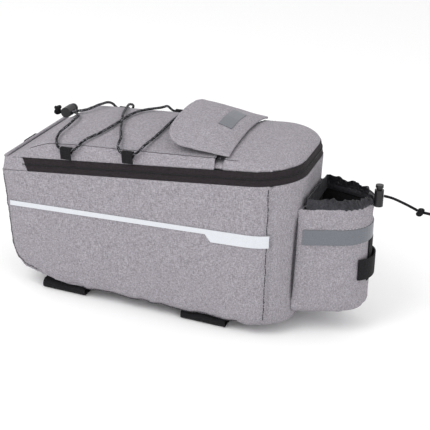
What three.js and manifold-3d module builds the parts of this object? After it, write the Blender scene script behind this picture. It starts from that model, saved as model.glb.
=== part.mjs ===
// A bicycle trunk bag: a padded box with a zipped lid, a top pocket under a stiff flap,
// an elastic cord laced over the lid, and a bottle pouch at the rear.
// Millimetres. +X points to the rear of the bag, +Y to its far side and +Z up.
// The bag is a wedge: its zip line rises towards the rear and its bottom falls towards the rear.
// Every piece is modelled in the frame of the level stripe on its side, with x = 0 at the middle of
// the body and z = 0 on the bottom there. The last lines turn the bag so that it rests on its straps.

import * as THREE from "three";
import { mergeVertices } from "three/addons/utils/BufferGeometryUtils.js";
import Module from "manifold-3d";

const wasm = await Module();
wasm.setup();

const gap = 0.3; // left between two pieces that touch

// The padded box.
const body = {
  length: 368.5,
  rearReach: 181, // from x = 0 to the rear
  width: 180,
  middleHeight: 160.4,
  zipRise: 3.9, // degrees, upwards to the rear
  bottomFall: 3.2, // degrees, downwards to the rear
  wall: 4,
  frontRadius: 9, // upright corners, seen from above
  rearRadius: 56,
  frontLean: 13, // how far the front's foot stands back
  rearLean: 5,
  frontToeRise: 40, // the large round toe of the front
  frontToeRun: 90,
  edgeRadius: 8, // along the bottom
  sideSeamFromRear: 30,
};

// The toe's outline: rise and run are shares of frontToeRise and frontToeRun.
const toeRows = [
  { rise: 0, run: 1 },
  { rise: 0.06, run: 0.72 },
  { rise: 0.16, run: 0.4 },
  { rise: 0.36, run: 0.15 },
  { rise: 0.6, run: 0.04 },
  { rise: 1, run: 0 },
];

// The zip runs round the rear, from one hinge end at the front to the other.
const zip = {
  height: 16,
  thickness: 1.6,
  lean: 4, // the upper tape's top edge stands in by this much
  setIn: 1,
  endFromFront: 33.5,
  endSlant: 8,
  toothGap: 0.8,
};

// The lid. Its top is nearly level, so the lid is deep at the front and shallow at the rear.
const lid = {
  topHeight: 204.5,
  topRise: 0.3, // degrees, upwards to the rear
  wall: 3,
  shoulder: 84, // how far the dome reaches in from a side edge
  frontRamp: 124, // and from the front
  rearRamp: 70, // and from the rear
  frontRounding: 130, // how fast the dome's front corners round off towards its top
};

// The dome's section: the shares of its height and of how far it has come in at each edge.
const domeRows = [
  { height: 0, side: 0, front: 0, rear: 0 },
  { height: 0.12, side: 0.012, front: 0.16, rear: 0.015 },
  { height: 0.35, side: 0.026, front: 0.28, rear: 0.05 },
  { height: 0.55, side: 0.06, front: 0.35, rear: 0.11 },
  { height: 0.7, side: 0.226, front: 0.395, rear: 0.2 },
  { height: 0.83, side: 0.417, front: 0.45, rear: 0.34 },
  { height: 0.94, side: 0.667, front: 0.6, rear: 0.6 },
  { height: 1, side: 1, front: 1, rear: 1 },
];

// The top pocket is the lid's outer layer. Its mouth faces the rear, under the flap.
const pocket = {
  wall: 2,
  depth: 10,
  mouthFromRear: 98,
};

// The flap: a stiff panel sewn down behind the mouth, whose free end stands up towards the front.
const flap = {
  thickness: 2.6,
  foldFromRear: 82,
  length: 79,
  width: 160,
  cornerRadius: 22,
  crownRise: 19, // of the middle of the free end above the lid
  edgeRise: 12, // of the free end's corners
  rootWidth: 6, // the strip that is sewn down
  stand: 1.4, // above the lid at the fold
};

// How far the flap has risen along its length, as shares of crownRise and edgeRise.
const flapRows = [
  { along: 0, crown: 0, edge: 0 },
  { along: 0.15, crown: 0.3, edge: 0.12 },
  { along: 0.35, crown: 0.58, edge: 0.28 },
  { along: 0.6, crown: 0.82, edge: 0.5 },
  { along: 0.8, crown: 0.94, edge: 0.74 },
  { along: 1, crown: 1, edge: 1 },
];

const patch = { length: 58, width: 16, thickness: 0.6, fromFold: 14 };

// The level stripe on each side, which widens into a label before the rear seam.
const stripe = {
  height: 104.4,
  width: 6,
  thickness: 0.7,
  frontInset: 13,
  labelLength: 75,
  labelWidth: 15,
  labelSlant: 7,
};

// The elastic lacing cord and the four webbing loops that it runs through.
const cord = { diameter: 3.6, eyeClearance: 0.9, steps: 104 };
const cordLoop = {
  width: 13,
  webbing: 1.6,
  height: 13,
  lean: 9, // degrees, so that its foot meets the lid
  frontFromMiddle: -98.5,
  rearFromMiddle: -20.5,
  below: 10, // the strap below the eye's middle
};

// Where the cord runs near an eye: shares of the loop's width along it, and the climb to the lid.
const eyeStations = [
  { along: -1.15, lift: 8.4, inward: 4 },
  { along: -0.8, lift: 0.5, inward: 0.3 },
  { along: -0.4, lift: 0, inward: 0 },
  { along: 0.4, lift: 0, inward: 0 },
  { along: 0.8, lift: 0.5, inward: 0.3 },
  { along: 1.15, lift: 8.4, inward: 4 },
];

// A cord lock: a barrel with a cord hole, and a sprung button in its end.
const frontLock = { diameter: 13, length: 18, strands: 2, cord: cord.diameter };
const pouchLock = { diameter: 11, length: 20, strands: 1, cord: 3.2 };
const lockButton = { stem: 6, cap: 3.2, travel: 2.6, capOverhang: 0.8, play: 0.3 };
const lockHoleDepth = 5; // from the barrel's open end to the first strand's near side
const frontLockPlace = { fromFront: 57, y: 6, stand: 2.2 };
const endKnot = { diameter: 8, beyondLock: 4 };

// The lacing cord's route from its knot round the four loops and back, chosen by hand. A place on
// the lid has its x, its y and the lift of the cord's middle above the cloth. An eye is passed
// towards the rear or the front, and between the two lie places that drop over the lid's edge.
const lacing = [
  { x: -115, y: -16, lift: 3.2 },
  { x: -113, y: -34, lift: 2.8 },
  { x: -114, y: -52, lift: 2.8 },
  { x: -117, y: -67, lift: 3.4 },
  { eye: "front", side: -1, towards: 1 },
  { x: -78, y: -74, lift: 4.4 },
  { x: -71, y: -64, lift: 3 },
  { x: -63, y: -46, lift: 2.6 },
  { x: -57, y: -20, lift: 2.4 },
  { x: -54, y: 6, lift: 2.4 },
  { x: -50, y: 28, lift: 2.4 },
  { x: -43, y: 50, lift: 2.8 },
  { x: -37, y: 66, lift: 4 },
  { eye: "rear", side: 1, towards: 1 },
  { x: -4, y: 66, lift: 4 },
  { x: -1, y: 48, lift: 2.8 },
  { x: 1, y: 24, lift: 2.4 },
  { x: 2, y: -6, lift: 2.4 },
  { x: 2, y: -34, lift: 2.6 },
  { x: 0, y: -58, lift: 3.2 },
  { x: -3, y: -72, lift: 4.6 },
  { eye: "rear", side: -1, towards: -1 },
  { x: -37, y: -70, lift: 4.4 },
  { x: -43, y: -56, lift: 3 },
  { x: -50, y: -38, lift: 4 },
  { x: -57, y: -17, lift: 6.8 },
  { x: -64, y: 4, lift: 4 },
  { x: -71, y: 28, lift: 2.6 },
  { x: -78, y: 50, lift: 2.8 },
  { x: -82, y: 66, lift: 4.4 },
  { eye: "front", side: 1, towards: -1 },
  { x: -114, y: 67, lift: 4 },
  { x: -111, y: 50, lift: 2.8 },
  { x: -111, y: 30, lift: 2.6 },
  { x: -114, y: 12, lift: 3 },
];

// The webbing loop at the front, and the two flat strap loops below.
const frontLoop = { width: 27, height: 13, depth: 9, webbing: 1.8 };
const strapLoop = { width: 56, span: 166, hang: 12, webbing: 2, frontFromFront: 77.5, rearFromRear: 109 };

// The bottle pouch, sewn to the rear panel along two seams.
const pouch = {
  radius: 42.3,
  centreFromRear: 29.6,
  seamHalfWidth: 57,
  bottom: 4,
  rim: 137,
  wall: 2.4,
  edgeRadius: 9,
};
const piping = { diameter: 3.4, endInset: 10 };
const pouchBand = { bottom: 93, height: 19, thickness: 0.8, clearOfSeam: 8 };
const collar = { bottom: 127, top: 149, thickness: 1.4, pleats: 16, pleatDepth: 1.1, backGap: 3 };
const lightLoop = { bottom: 46, height: 26, halfAngle: 38, bulge: 4, webbing: 1.8 };
const lightStrip = { bottom: 40, height: 52, width: 20, webbing: 1.2 };

// The pouch's draw cord leaves the lock to the rear and ends in a knot.
const tailPoints = [
  { out: 0, drop: 0 },
  { out: 10, drop: 1.4 },
  { out: 22, drop: 5.2 },
  { out: 33, drop: 9.4 },
  { out: 40, drop: 12.4 },
];
const tailKnot = { diameter: 6.6, tipLength: 9 };
const pouchLockPlace = { y: -5, top: 154.8 };

// The zip's slider and its pull, on the far side.
const slider = { length: 11, width: 8, height: 3.4, fromRear: 120, pullLength: 32, pullWidth: 9 };

// Colours seen in the photograph.
const cloth = { color: 0xa9a8ac, roughness: 0.95, metalness: 0 };
const clothDark = { color: 0x9a999d, roughness: 0.95, metalness: 0 };
const webbing = { color: 0x1d1c1f, roughness: 0.85, metalness: 0 };
const tape = { color: 0x3d393e, roughness: 0.8, metalness: 0 };
const nylon = { color: 0x202024, roughness: 0.6, metalness: 0 };
const reflective = { color: 0xdfe2e6, roughness: 0.45, metalness: 0 };
const silver = { color: 0x777d84, roughness: 0.4, metalness: 0.1 };
const plastic = { color: 0x141416, roughness: 0.4, metalness: 0 };

const rear = body.rearReach;
const front = rear - body.length;
const half = body.width / 2;
const slope = (degrees) => Math.tan(THREE.MathUtils.degToRad(degrees));
const mix = (a, b, share) => a + (b - a) * share;

const bottomZ = (x) => -slope(body.bottomFall) * x;
const zipZ = (x) => body.middleHeight + slope(body.zipRise) * x;
const lidBaseZ = (x) => zipZ(x) + zip.height + gap;
const lidTopZ = (x) => lid.topHeight + slope(lid.topRise) * x;
const seamX = rear - body.sideSeamFromRear;
const zipEndX = front + zip.endFromFront;
const mouthX = rear - pocket.mouthFromRear;
const foldX = rear - flap.foldFromRear;

const pieces = [];

function addPiece(name, geometry, look) {
  const mesh = new THREE.Mesh(geometry, new THREE.MeshStandardMaterial(look));
  mesh.name = name;
  pieces.push(mesh);
  return mesh;
}

// A geometry's closed mesh as a solid for cutting and joining.
function toSolid(geometry) {
  const bare = geometry.clone();
  bare.deleteAttribute("normal");
  bare.deleteAttribute("uv");
  const merged = mergeVertices(bare, 1e-4);
  const made = new wasm.Manifold(
    new wasm.Mesh({
      numProp: 3,
      vertProperties: new Float32Array(merged.attributes.position.array),
      triVerts: new Uint32Array(merged.index.array),
    }),
  );
  return made;
}

function toGeometry(solid) {
  const mesh = solid.getMesh();
  const geometry = new THREE.BufferGeometry();
  geometry.setAttribute("position", new THREE.Float32BufferAttribute(mesh.vertProperties, 3));
  geometry.setIndex(Array.from(mesh.triVerts));
  geometry.computeVertexNormals();
  return geometry;
}

// Turns every face round when a closed triangle list encloses a negative volume.
function facesOut(points, triangles) {
  let volume = 0;
  const cross = new THREE.Vector3();
  for (const [a, b, c] of triangles) {
    volume += points[a].dot(cross.crossVectors(points[b], points[c]));
  }
  return volume < 0 ? triangles.map(([a, b, c]) => [a, c, b]) : triangles;
}

function geometryOf(points, triangles) {
  const geometry = new THREE.BufferGeometry();
  geometry.setFromPoints(points);
  geometry.setIndex(facesOut(points, triangles).flat());
  geometry.computeVertexNormals();
  return geometry;
}

// A solid lofted through rings of as many points each. Its ends are capped, or joined if it closes.
function loft(rings, closes = false) {
  const count = rings[0].length;
  const points = rings.flat();
  const triangles = [];
  const steps = closes ? rings.length : rings.length - 1;
  for (let i = 0; i < steps; i++) {
    const low = i * count;
    const high = ((i + 1) % rings.length) * count;
    for (let j = 0; j < count; j++) {
      const next = (j + 1) % count;
      triangles.push([low + j, low + next, high + next], [low + j, high + next, high + j]);
    }
  }
  if (!closes) {
    capRing(points, triangles, rings[0], 0, true);
    capRing(points, triangles, rings.at(-1), (rings.length - 1) * count, false);
  }
  return geometryOf(points, triangles);
}

function capRing(points, triangles, ring, start, reversed) {
  const middle = new THREE.Vector3();
  ring.forEach((point) => middle.add(point));
  middle.divideScalar(ring.length);
  const centre = points.push(middle) - 1;
  for (let j = 0; j < ring.length; j++) {
    const a = start + j;
    const b = start + ((j + 1) % ring.length);
    triangles.push(reversed ? [centre, b, a] : [centre, a, b]);
  }
}

// A sheet with a thickness: at(u, v) gives its upper side, and its lower side lies straight below.
function sheet(columns, rows, at, thickness) {
  const points = [];
  const triangles = [];
  const side = (columns + 1) * (rows + 1);
  for (const drop of [0, thickness]) {
    for (let i = 0; i <= columns; i++) {
      for (let j = 0; j <= rows; j++) {
        const point = at(i / columns, j / rows);
        point.z -= drop;
        points.push(point);
      }
    }
  }
  const index = (i, j) => i * (rows + 1) + j;
  for (let i = 0; i < columns; i++) {
    for (let j = 0; j < rows; j++) {
      const quad = [index(i, j), index(i + 1, j), index(i + 1, j + 1), index(i, j + 1)];
      const [a, b, c, d] = quad;
      triangles.push([a, b, c], [a, c, d]);
      triangles.push([a + side, c + side, b + side], [a + side, d + side, c + side]);
    }
  }
  const edge = [];
  for (let i = 0; i < columns; i++) edge.push(index(i, 0));
  for (let j = 0; j < rows; j++) edge.push(index(columns, j));
  for (let i = columns; i > 0; i--) edge.push(index(i, rows));
  for (let j = rows; j > 0; j--) edge.push(index(0, j));
  edge.forEach((a, n) => {
    const b = edge[(n + 1) % edge.length];
    triangles.push([b, a, a + side], [b, a + side, b + side]);
  });
  return geometryOf(points, triangles);
}

// A straight prism: an outline in the plane of two axes, pushed out along the third.
function prismAlongY(outline, yFrom, yTo) {
  const geometry = new THREE.ExtrudeGeometry(outline, {
    depth: yTo - yFrom,
    bevelEnabled: false,
    curveSegments: 8,
  });
  geometry.rotateX(Math.PI / 2);
  geometry.translate(0, yTo, 0);
  return geometry;
}

// The outline's first number runs along Y and its second along Z.
function prismAlongX(outline, xFrom, xTo) {
  const geometry = new THREE.ExtrudeGeometry(outline, {
    depth: xTo - xFrom,
    bevelEnabled: false,
    curveSegments: 10,
  });
  const turn = new THREE.Matrix4().makeBasis(
    new THREE.Vector3(0, 1, 0),
    new THREE.Vector3(0, 0, 1),
    new THREE.Vector3(1, 0, 0),
  );
  geometry.applyMatrix4(turn);
  geometry.translate(xFrom, 0, 0);
  return geometry;
}

function polygon(corners) {
  return new THREE.Shape(corners.map(([x, y]) => new THREE.Vector2(x, y)));
}

function boxSolid(xFrom, xTo, yFrom, yTo, zFrom, zTo) {
  const geometry = new THREE.BoxGeometry(xTo - xFrom, yTo - yFrom, zTo - zFrom);
  geometry.translate((xFrom + xTo) / 2, (yFrom + yTo) / 2, (zFrom + zTo) / 2);
  return toSolid(geometry);
}

// A round tube along chosen points.
function tube(points, diameter, steps, sides = 8) {
  const section = new THREE.Shape();
  section.absarc(0, 0, diameter / 2, 0, Math.PI * 2);
  return new THREE.ExtrudeGeometry(section, {
    steps,
    curveSegments: sides / 2,
    bevelEnabled: false,
    extrudePath: new THREE.CatmullRomCurve3(points, false, "centripetal"),
  });
}

// A rounded outline seen from above. height(x, y) gives each point its z.
function planRing({ xFrom, xTo, halfWidth, frontRadius, rearRadius }, height) {
  const corners = [
    { x: xFrom + frontRadius, y: -halfWidth + frontRadius, radius: frontRadius, start: 180, steps: 5 },
    { x: xTo - rearRadius, y: -halfWidth + rearRadius, radius: rearRadius, start: 270, steps: 10 },
    { x: xTo - rearRadius, y: halfWidth - rearRadius, radius: rearRadius, start: 0, steps: 10 },
    { x: xFrom + frontRadius, y: halfWidth - frontRadius, radius: frontRadius, start: 90, steps: 5 },
  ];
  const ring = [];
  for (const corner of corners) {
    for (let i = 0; i <= corner.steps; i++) {
      const angle = THREE.MathUtils.degToRad(corner.start + (90 * i) / corner.steps);
      const x = corner.x + corner.radius * Math.cos(angle);
      const y = corner.y + corner.radius * Math.sin(angle);
      ring.push(new THREE.Vector3(x, y, height(x, y)));
    }
  }
  return ring;
}

// The body's outline at a share of its height, drawn in by inset. lift raises its bottom.
function bodyRing(share, toeRun, edgeInset, inset, lift = 0) {
  const radius = (full) => Math.max(full - inset - edgeInset, 1);
  const outline = {
    xFrom: front + body.frontLean * (1 - share) + toeRun + inset,
    xTo: rear - body.rearLean * (1 - share) - inset - edgeInset,
    halfWidth: half - inset - edgeInset,
    frontRadius: radius(body.frontRadius),
    rearRadius: radius(body.rearRadius),
  };
  return planRing(outline, (x) => mix(bottomZ(x) + lift, zipZ(x), share));
}

// The body's rings from its bottom to its rim.
function bodyRings(inset, lift = 0) {
  const frontHeight = zipZ(front) - bottomZ(front);
  const rings = toeRows.map(({ rise, run }) => {
    const height = rise * body.frontToeRise;
    const below = Math.max(body.edgeRadius - height, 0) / body.edgeRadius;
    const edgeInset = body.edgeRadius * (1 - Math.sqrt(1 - below * below));
    return bodyRing(height / frontHeight, run * body.frontToeRun, edgeInset, inset, lift);
  });
  rings.push(bodyRing(1, 0, 0, inset, lift));
  return rings;
}

// The padded box, open at the top, cut into the panels that are sewn together.
function makeBody() {
  const shell = toSolid(loft([...bodyRings(0), ...bodyRings(body.wall, body.wall).reverse()]));
  const reach = body.length + body.width;
  const cut = half - body.wall;
  const ahead = boxSolid(-reach, seamX - gap / 2, -reach, reach, -reach, reach);
  const behind = boxSolid(seamX + gap / 2, reach, -reach, reach, -reach, reach);
  const nearSide = boxSolid(-reach, reach, -reach, -cut, -reach, reach);
  const farSide = boxSolid(-reach, reach, cut, reach, -reach, reach);
  const between = boxSolid(-reach, reach, -cut + gap, cut - gap, -reach, reach);
  const aheadShell = shell.intersect(ahead);
  addPiece("side_panel_near", toGeometry(aheadShell.intersect(nearSide)), cloth);
  addPiece("side_panel_far", toGeometry(aheadShell.intersect(farSide)), cloth);
  addPiece("front_and_bottom_panel", toGeometry(aheadShell.intersect(between)), clothDark);
  addPiece("rear_panel", toGeometry(shell.intersect(behind)), cloth);
}

// The closed outer form of the body, grown by a clearance, for cutting its neighbours.
function bodyForm(clearance) {
  return toSolid(loft(bodyRings(-clearance)));
}

// A band that follows the rim: it stands from one lift above the zip line to another.
function rimBand(liftFrom, liftTo, insetFrom, insetTo, thickness) {
  const ring = (lift, inset) =>
    planRing(
      {
        xFrom: front + inset,
        xTo: rear - inset,
        halfWidth: half - inset,
        frontRadius: Math.max(body.frontRadius - inset, 1),
        rearRadius: body.rearRadius - inset,
      },
      (x) => zipZ(x) + lift,
    );
  const rings = [
    ring(liftFrom, insetFrom),
    ring(liftTo, insetTo),
    ring(liftTo, insetTo + thickness),
    ring(liftFrom, insetFrom + thickness),
  ];
  return toSolid(loft(rings, true));
}

// What lies behind the zip's slanted front ends.
function behindZipEnds(shift) {
  const reach = body.length + body.width;
  const zLow = zipZ(zipEndX);
  const zHigh = zLow + zip.height;
  const run = (zip.endSlant * reach) / zip.height;
  const outline = polygon([
    [zipEndX + shift + run, zLow - reach],
    [reach, zLow - reach],
    [reach, zHigh + reach],
    [zipEndX + shift - run, zHigh + reach],
  ]);
  return toSolid(prismAlongY(outline, -reach, reach));
}

function makeZip() {
  const middle = zip.height / 2;
  const middleInset = mix(zip.setIn, zip.lean, 0.5);
  const lower = rimBand(gap, middle - zip.toothGap / 2, zip.setIn, middleInset, zip.thickness);
  const upper = rimBand(middle + zip.toothGap / 2, zip.height, middleInset, zip.lean, zip.thickness);
  const hinge = rimBand(gap, zip.height, zip.setIn, zip.lean, zip.thickness);
  addPiece("zip_tape_lower", toGeometry(lower.intersect(behindZipEnds(gap / 2))), tape);
  addPiece("zip_tape_upper", toGeometry(upper.intersect(behindZipEnds(gap / 2))), tape);
  addPiece("front_hinge", toGeometry(hinge.subtract(behindZipEnds(-gap / 2))), cloth);
}

// The slider rides over both tapes, and its pull hangs from it.
function makeSlider() {
  const x = rear - slider.fromRear;
  const outside = half - mix(zip.setIn, zip.lean, 0.5) + gap;
  const middle = zipZ(x) + zip.height / 2;
  const slide = new THREE.BoxGeometry(slider.length, slider.height, slider.width);
  slide.rotateY(-THREE.MathUtils.degToRad(body.zipRise));
  slide.translate(x, outside + slider.height / 2 + zip.lean / 2, middle);
  addPiece("zip_slider", slide, plastic);
  const pull = new THREE.BoxGeometry(slider.pullWidth, 2, slider.pullLength);
  const hang = slider.pullLength / 2 + slider.width / 2 + gap;
  pull.translate(x, half + gap + 1.2, middle - hang);
  addPiece("zip_pull", pull, webbing);
}

// The dome's rings, from its base to its top, drawn in by inset and lowered by drop at the top.
function domeRings(inset, drop) {
  return domeRows.map((row) => {
    const side = zip.lean + inset + row.side * (lid.shoulder - inset);
    const widest = half - side - 0.2;
    const outline = {
      xFrom: front + zip.lean + inset + row.front * lid.frontRamp,
      xTo: rear - zip.lean - inset - row.rear * lid.rearRamp,
      halfWidth: half - side,
      frontRadius: Math.min(body.frontRadius - zip.lean + row.side * lid.frontRounding, widest),
      rearRadius: Math.min(body.rearRadius - zip.lean - inset, widest),
    };
    return planRing(outline, (x) => mix(lidBaseZ(x), lidTopZ(x) - drop, row.height));
  });
}

// A domed shell that is open below.
function domeShell(insetOut, dropOut, insetIn, dropIn) {
  return toSolid(loft([...domeRings(insetOut, dropOut).reverse(), ...domeRings(insetIn, dropIn)]));
}

// The dome's height share where an edge has come in by some distance.
function domeShare(distance, reach, column) {
  const share = Math.min(Math.max(distance / reach, 0), 1);
  const next = domeRows.findIndex((row) => row[column] >= share);
  if (next <= 0) return 0;
  const low = domeRows[next - 1];
  const high = domeRows[next];
  return mix(low.height, high.height, (share - low[column]) / (high[column] - low[column]));
}

// The height of the lid's outer side at a place seen from above.
function lidZ(x, y) {
  const share = Math.min(
    domeShare(half - zip.lean - Math.abs(y), lid.shoulder, "side"),
    domeShare(x - front - zip.lean, lid.frontRamp, "front"),
    domeShare(rear - zip.lean - x, lid.rearRamp, "rear"),
  );
  return mix(lidBaseZ(x), lidTopZ(x), share);
}

// The lid's inner panel reaches from end to end, and behind the flap it is as thick as the pocket.
function makeLid() {
  const reach = body.length + body.width;
  const innerInset = pocket.wall + gap + 0.2;
  const innerDrop = pocket.wall + pocket.depth;
  const outer = domeShell(0, 0, pocket.wall, pocket.wall);
  const inner = domeShell(innerInset, innerDrop, innerInset + lid.wall, innerDrop + lid.wall);
  const whole = domeShell(0, 0, innerInset + lid.wall, innerDrop + lid.wall);
  const aheadOfMouth = boxSolid(-reach, mouthX, -reach, reach, -reach, reach);
  const behindFold = boxSolid(foldX - flap.rootWidth, reach, -reach, reach, -reach, reach);
  addPiece("top_pocket", toGeometry(outer.intersect(aheadOfMouth)), cloth);
  addPiece("lid", toGeometry(inner.add(whole.intersect(behindFold))), cloth);
}

function rowValue(rows, key, at, column) {
  const next = Math.max(rows.findIndex((row) => row[key] >= at), 1);
  const low = rows[next - 1];
  const high = rows[next];
  return mix(low[column], high[column], (at - low[key]) / (high[key] - low[key]));
}

// The flap's upper side. along runs from the fold to the free end and across from -1 to 1.
function flapPoint(along, across, lift) {
  const x = foldX - along * flap.length;
  const y = (across * flap.width) / 2;
  const middle = 1 - Math.abs(across) ** 3;
  const crown = rowValue(flapRows, "along", along, "crown") * flap.crownRise;
  const edge = rowValue(flapRows, "along", along, "edge") * flap.edgeRise;
  return new THREE.Vector3(x, y, lidZ(x, y) + flap.stand + flap.thickness + mix(edge, crown, middle) + lift);
}

function makeFlap() {
  const surface = sheet(10, 16, (u, v) => flapPoint(u, v * 2 - 1, 0), flap.thickness);
  const radius = flap.cornerRadius;
  const xFree = foldX - flap.length;
  const w = flap.width / 2;
  const outline = new THREE.Shape();
  outline.moveTo(foldX + 1, -w - 1);
  outline.lineTo(foldX + 1, w + 1);
  outline.lineTo(xFree + radius, w + 1);
  outline.lineTo(xFree + radius, w);
  outline.absarc(xFree + radius, w - radius, radius, Math.PI / 2, Math.PI);
  outline.absarc(xFree + radius, -w + radius, radius, Math.PI, Math.PI * 1.5);
  outline.lineTo(xFree + radius, -w - 1);
  const tall = 4 * body.middleHeight;
  const prism = new THREE.ExtrudeGeometry(outline, { depth: tall, bevelEnabled: false, curveSegments: 5 });
  addPiece("pocket_flap", toGeometry(toSolid(surface).intersect(toSolid(prism))), cloth);

  const patchPoint = (u, v) => {
    const along = (patch.fromFold + u * patch.width) / flap.length;
    const across = ((v * 2 - 1) * patch.length) / flap.width;
    return flapPoint(along, across, gap + patch.thickness);
  };
  addPiece("flap_patch", sheet(4, 10, patchPoint, patch.thickness), silver);
}

// A stripe that widens into a label, on the near side (-1) or on the far side (1).
// It follows the body's side and its round rear corner.
function makeStripe(name, side) {
  const low = stripe.height;
  const high = low + stripe.width;
  const end = seamX - 2 * gap;
  const labelFront = end - stripe.labelLength;
  const outline = polygon([
    [front + stripe.frontInset, low],
    [labelFront, low],
    [labelFront + stripe.labelSlant, high - stripe.labelWidth],
    [end, high - stripe.labelWidth],
    [end, high],
    [front + stripe.frontInset, high],
  ]);
  const [from, to] = side < 0 ? [-body.width, 0] : [0, body.width];
  const skin = bodyForm(gap + stripe.thickness).subtract(bodyForm(gap));
  addPiece(name, toGeometry(skin.intersect(toSolid(prismAlongY(outline, from, to)))), reflective);
}

// A webbing loop on the lid's side wall, whose eye holds the cord. side is -1 near and 1 far.
function loopEye(x, side) {
  const radius = cord.diameter / 2 + cord.eyeClearance + cordLoop.webbing;
  const wallY = half - zip.lean - domeRows[2].side * lid.shoulder;
  return new THREE.Vector3(x, side * (wallY + radius + gap), lidBaseZ(x) + cordLoop.height);
}

function makeCordLoop(name, x, side) {
  const inside = cord.diameter / 2 + cord.eyeClearance;
  const outside = inside + cordLoop.webbing;
  const outline = new THREE.Shape();
  outline.moveTo(outside, -cordLoop.below);
  outline.lineTo(outside, 0);
  outline.absarc(0, 0, outside, 0, Math.PI * 1.55);
  outline.absarc(0, 0, inside, Math.PI * 1.55, 0, true);
  outline.lineTo(inside, -cordLoop.below);
  const geometry = prismAlongX(outline, -cordLoop.width / 2, cordLoop.width / 2);
  geometry.rotateX(-THREE.MathUtils.degToRad(cordLoop.lean));
  if (side < 0) geometry.rotateZ(Math.PI);
  const mesh = addPiece(name, geometry, webbing);
  mesh.position.copy(loopEye(x, side));
}

// A cord lock along its own +Z, with the barrel's open end at z = 0 and the cord hole along X.
function lockSizes(lock) {
  const holeHalf = lock.cord / 2 + lockButton.play;
  const pitch = lock.cord + gap;
  const middle = -lockHoleDepth - holeHalf - ((lock.strands - 1) * pitch) / 2;
  const holeRise = holeHalf + ((lock.strands - 1) * pitch) / 2;
  return { holeHalf, pitch, middle, holeRise };
}

function roundBar(diameter, zFrom, zTo, sides) {
  const geometry = new THREE.CylinderGeometry(diameter / 2, diameter / 2, zTo - zFrom, sides);
  geometry.rotateX(Math.PI / 2);
  geometry.translate(0, 0, (zFrom + zTo) / 2);
  return toSolid(geometry);
}

function makeLock(name, lock, place) {
  const { holeHalf, middle, holeRise } = lockSizes(lock);
  const wide = lock.diameter;
  const bore = lockButton.stem + 2 * lockButton.play;
  const stemEnd = middle - holeRise - 2 * lockButton.travel;
  const boreEnd = stemEnd - lockButton.travel - lockButton.play;
  const hole = boxSolid(-wide, wide, -holeHalf, holeHalf, middle - holeRise, middle + holeRise);
  const barrel = roundBar(wide, -lock.length, 0, 20)
    .subtract(roundBar(bore, Math.max(boreEnd, 1.5 - lock.length), 1, 16))
    .subtract(hole);
  const slot = boxSolid(
    -wide,
    wide,
    -holeHalf,
    holeHalf,
    middle - holeRise,
    middle + holeRise + lockButton.travel,
  );
  const capBottom = lockButton.travel + lockButton.play;
  const capWidth = wide - 2 * lockButton.capOverhang;
  const stemFrom = Math.max(stemEnd, 1.5 - lock.length + lockButton.travel + lockButton.play);
  const stem = roundBar(lockButton.stem, stemFrom, capBottom + 1, 16).subtract(slot);
  const button = stem.add(roundBar(capWidth, capBottom, capBottom + lockButton.cap, 20));
  for (const [pieceName, solid] of [
    [name, barrel],
    [name + "_button", button],
  ]) {
    const mesh = addPiece(pieceName, toGeometry(solid), plastic);
    mesh.position.copy(place.position);
    mesh.rotation.copy(place.rotation);
  }
}

// The front lock lies across the lid's front slope, with its button to the far side.
function frontLockFrame() {
  const x = front + frontLockPlace.fromFront;
  const reach = frontLock.diameter / 2;
  const rise = lidZ(x + reach, 0) - lidZ(x - reach, 0);
  const length = Math.hypot(rise, frontLock.diameter);
  const stand = reach + frontLockPlace.stand;
  return {
    position: new THREE.Vector3(
      x - (stand * rise) / length,
      frontLockPlace.y,
      lidZ(x, 0) + (stand * frontLock.diameter) / length,
    ),
    rotation: new THREE.Euler(-Math.PI / 2, 0, 0),
  };
}

// The cord's places through an eye, from where it drops over the lid's edge to where it climbs back.
function eyePlaces({ eye, side, towards }) {
  const x = eye === "front" ? cordLoop.frontFromMiddle : cordLoop.rearFromMiddle;
  const centre = loopEye(x, side);
  const places = eyeStations.map(({ along, lift, inward }) => {
    const reach = towards * along * cordLoop.width;
    return new THREE.Vector3(x + reach, centre.y - side * inward, centre.z + lift);
  });
  return places;
}

// The elastic cord: both its ends pass through the front lock and meet in one knot.
function makeCord() {
  const lock = frontLockFrame().position;
  const { middle, pitch } = lockSizes(frontLock);
  const ahead = lock.x - frontLock.diameter / 2 - endKnot.beyondLock;
  const through = (strand) => {
    const y = lock.y + middle + strand * (pitch / 2);
    const behind = lock.x + frontLock.diameter / 2 + 2;
    return [ahead, lock.x, behind].map((x) => new THREE.Vector3(x, y, lock.z));
  };
  const onLid = lacing.flatMap((place) => {
    if (place.eye) return eyePlaces(place);
    return [new THREE.Vector3(place.x, place.y, lidZ(place.x, place.y) + place.lift)];
  });
  const points = [...through(-1), ...onLid, ...through(1).reverse()];
  addPiece("lacing_cord", tube(points, cord.diameter, cord.steps), webbing);
  const knot = new THREE.SphereGeometry(endKnot.diameter / 2, 14, 10);
  const mesh = addPiece("lacing_cord_knot", knot, webbing);
  mesh.position.set(ahead - endKnot.diameter / 2 - gap, lock.y + middle, lock.z);
}

function pouchLockFrame() {
  const x = rear + pouch.centreFromRear + pouch.radius + pouchLock.diameter / 2 + gap;
  return {
    position: new THREE.Vector3(x, pouchLockPlace.y, pouchLockPlace.top),
    rotation: new THREE.Euler(0, 0, 0),
  };
}

// The loop at the front: an upright flattened ring of webbing on the middle of the hinge.
function stadiumRing(width, height, wall) {
  const outline = stadium(width, height);
  outline.holes.push(stadium(width - 2 * wall, height - 2 * wall));
  return outline;
}

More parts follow.
